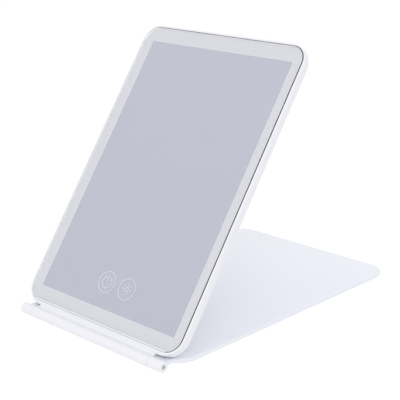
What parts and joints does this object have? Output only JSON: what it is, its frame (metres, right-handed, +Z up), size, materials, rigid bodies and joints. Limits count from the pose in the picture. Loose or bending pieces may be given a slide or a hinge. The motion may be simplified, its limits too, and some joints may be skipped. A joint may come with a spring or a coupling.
{
  "type": "lighted folding makeup mirror",
  "caption": "Thin tabletop makeup mirror with a frosted light band and touch marks, on a barrel hinge whose flat cover folds back as its stand.",
  "frame": {"origin": "centre of the whole mirror's outline, on the plane it stands on", "axes": "+Z up, +Y from the hinge towards the far end of the cover, +X to the right of a user who faces the glass"},
  "size_m": [0.17, 0.2686, 0.2116],
  "materials": {
    "white_shell": "satin moulded white",
    "cover_shell": "satin moulded white",
    "lining": "fine matt texture",
    "clear_glass": "polished",
    "silvering": "silvered",
    "frosted": "etched matt",
    "mark": "etched matt",
    "dark_adhesive": "matt",
    "diffuser": "milky",
    "led_board": "solder mask",
    "led": "phosphor",
    "backing": "matt",
    "conductive_foam": "matt",
    "circuit_board": "solder mask",
    "chip": "matt",
    "steel": "bright",
    "pin_steel": "dark",
    "cell": "foil pouch",
    "tape": "film tape",
    "wire": "insulation",
    "magnet": "nickel plated",
    "sleeve": "bronze",
    "washer": "nylon",
    "foot_rubber": "soft pale grey"
  },
  "bodies": {
    "mirror_panel": {"front_frame": "white_shell", "rear_casing": "white_shell", "glass_plate": "clear_glass", "silver_layer": "silvering", "frosted_band": "frosted", "power_mark": "mark", "brightness_mark": "mark", "glass_adhesive": "dark_adhesive", "diffuser_ring": "diffuser", "led_board_left": "led_board", "led_board_right": "led_board", "led_board_top": "led_board", "led_board_bottom": "led_board", "led_chips": "led", "backing_sheet": "backing", "touch_pads": "conductive_foam", "touch_board": "circuit_board", "control_board": "circuit_board", "control_chips": "chip", "board_screws": "steel", "charging_socket": "steel", "battery_cell": "cell", "battery_tape": "tape", "wiring": "wire", "panel_magnets": "magnet", "hinge_sleeve_left": "sleeve", "hinge_sleeve_right": "sleeve"},
    "cover_stand": {"cover_shell": "cover_shell", "cover_lining": "lining", "cover_magnets": "magnet", "cover_feet": "foot_rubber", "hinge_pin_left": "pin_steel", "hinge_pin_right": "pin_steel", "hinge_washer_left": "washer", "hinge_washer_right": "washer"}
  },
  "joints": [
    {"name": "cover_hinge", "type": "hinge", "parent": "mirror_panel", "child": "cover_stand", "pos_m": [0, -0.1301, 0.0042], "axis": [-1, 0, 0], "range_deg": [-5, 305]}
  ]
}
